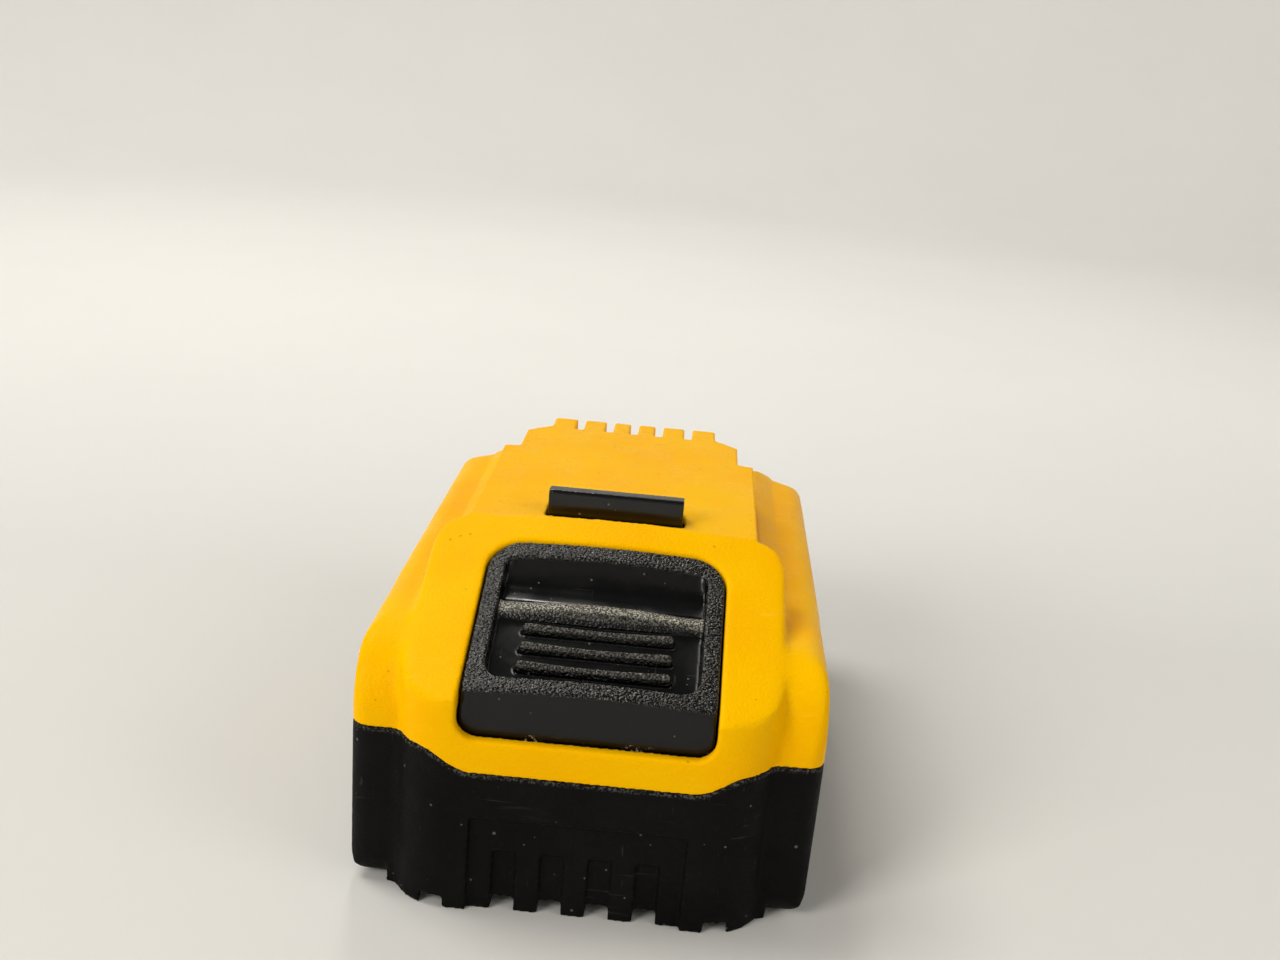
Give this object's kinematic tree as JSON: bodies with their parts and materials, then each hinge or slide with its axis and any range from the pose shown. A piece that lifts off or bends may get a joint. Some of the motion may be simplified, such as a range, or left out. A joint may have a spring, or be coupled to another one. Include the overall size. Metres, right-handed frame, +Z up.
{
  "type": "slide-on tool battery pack",
  "caption": "Slide-on battery pack for a cordless tool: yellow upper shell with rails, terminal comb and sloping cowl, black tub, and a sprung black release latch with a ribbed thumb scoop.",
  "frame": {"origin": "middle of the pack's outer box, at the plane of its feet", "axes": "+X across the pack, +Y from the release button at the front towards the terminals at the rear, +Z up"},
  "size_m": [0.076, 0.116, 0.0585],
  "materials": {
    "yellow_shell": "fine pebble grain",
    "black_shell": "matte, worn along the upper edge",
    "black_latch": "pebble grain on the rim, smooth on the lower face",
    "spring_steel": "bright drawn wire",
    "grey_moulding": "matte moulding",
    "screw_steel": "zinc plated",
    "cell_wrap": "shrink wrap",
    "ring_paper": "paper",
    "strap_nickel": "nickel strip",
    "insulating_sheet": "fibre sheet",
    "foam": "closed-cell foam",
    "board_green": "solder mask",
    "component_black": "moulded packages",
    "terminal_moulding": "glass-filled moulding",
    "contact_brass": "stamped strip",
    "lamp_clear": "clear resin",
    "lens_smoke": "smoked lens",
    "gauge_rubber": "matte rubber",
    "ribbon_film": "film ribbon"
  },
  "bodies": {
    "housing": {"top_housing": "yellow_shell", "bottom_housing": "black_shell", "latch_spring_left": "spring_steel", "latch_spring_right": "spring_steel", "latch_guide": "grey_moulding", "housing_screws": "screw_steel", "cell_holder_left": "grey_moulding", "cell_holder_right": "grey_moulding", "cell_1": "cell_wrap", "cell_2": "cell_wrap", "cell_3": "cell_wrap", "cell_4": "cell_wrap", "cell_5": "cell_wrap", "cell_6": "cell_wrap", "cell_7": "cell_wrap", "cell_8": "cell_wrap", "cell_9": "cell_wrap", "cell_10": "cell_wrap", "cell_rings": "ring_paper", "strap_1": "strap_nickel", "strap_2": "strap_nickel", "strap_3": "strap_nickel", "strap_4": "strap_nickel", "strap_5": "strap_nickel", "strap_6": "strap_nickel", "strap_sheet_left": "insulating_sheet", "strap_sheet_right": "insulating_sheet", "foam_pads": "foam", "battery_board": "board_green", "board_components": "component_black", "board_screws": "screw_steel", "thermistor": "component_black", "terminal_block": "terminal_moulding", "terminal_positive": "contact_brass", "terminal_negative": "contact_brass", "signal_terminals": "contact_brass", "gauge_board": "board_green", "gauge_lamps": "lamp_clear", "gauge_lens": "lens_smoke", "gauge_ribbon": "ribbon_film"},
    "release_latch": {"release_latch": "black_latch"},
    "gauge_button": {"gauge_button": "gauge_rubber"}
  },
  "joints": [
    {"name": "latch_slide", "type": "slide", "parent": "housing", "child": "release_latch", "axis": [0, 0, -1], "range_m": [0, 0.0047], "stiffness_N_per_m": 1500, "springref_m": -0.004, "deforming": ["latch_spring_left", "latch_spring_right"]},
    {"name": "gauge_press", "type": "slide", "parent": "housing", "child": "gauge_button", "axis": [0, -1, 0], "range_m": [0, 0.0008], "stiffness_N_per_m": 1500, "springref_m": -0.0003}
  ]
}
